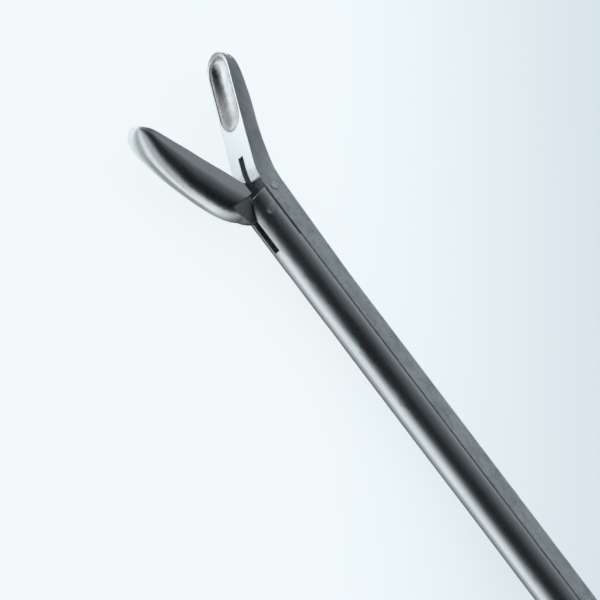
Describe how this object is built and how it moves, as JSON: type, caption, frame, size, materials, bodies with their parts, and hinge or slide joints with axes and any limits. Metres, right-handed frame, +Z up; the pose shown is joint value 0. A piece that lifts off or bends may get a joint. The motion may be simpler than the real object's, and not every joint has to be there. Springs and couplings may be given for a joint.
{
  "type": "nasal forceps",
  "caption": "Sliding-shaft nasal forceps: a hinged spoon jaw closes on a bent cup jaw, drawn by a half-round slide and a ring-handled lever.",
  "frame": {"origin": "bottom centre of the bounding box with jaws and handles open, on the surface that the instrument lies on", "axes": "+X along the shaft to the jaws, +Y towards the slide and away from the finger ring, +Z up from the surface"},
  "size_m": [0.1958, 0.089, 0.006],
  "materials": {
    "matte_steel": "matte, fine blasted grain, bright mating face and cup",
    "satin_steel": "satin, semi-gloss",
    "handle_steel": "satin",
    "pin_steel": "ground smooth"
  },
  "bodies": {
    "frame": {"fixed_shaft": "matte_steel", "jaw_pivot_pin": "pin_steel", "rear_handle": "handle_steel", "shaft_rivets": "pin_steel", "lever_pivot_screw": "pin_steel"},
    "slide": {"slide": "satin_steel", "drive_pin": "pin_steel", "guide_keys": "pin_steel", "coupling_pin": "pin_steel"},
    "jaw": {"moving_jaw": "satin_steel"},
    "lever": {"front_lever": "handle_steel"}
  },
  "joints": [
    {"name": "lever_hinge", "type": "hinge", "parent": "frame", "child": "lever", "pos_m": [-0.03602, 0.03367, 0.003], "axis": [0, 0, -1], "range_deg": [0, 16.7]},
    {"name": "slide_travel", "type": "slide", "parent": "frame", "child": "slide", "axis": [1, 0, 0], "range_m": [0, 0.00175]},
    {"name": "jaw_hinge", "type": "hinge", "parent": "frame", "child": "jaw", "pos_m": [0.08598, 0.0369, 0.003], "axis": [0, 0, -1], "range_deg": [0, 55.5]}
  ],
  "couplings": [
    {"joint": "slide_travel", "follows": "lever_hinge", "m_per_rad": 0.006},
    {"joint": "jaw_hinge", "follows": "lever_hinge", "ratio": 3.3211}
  ]
}
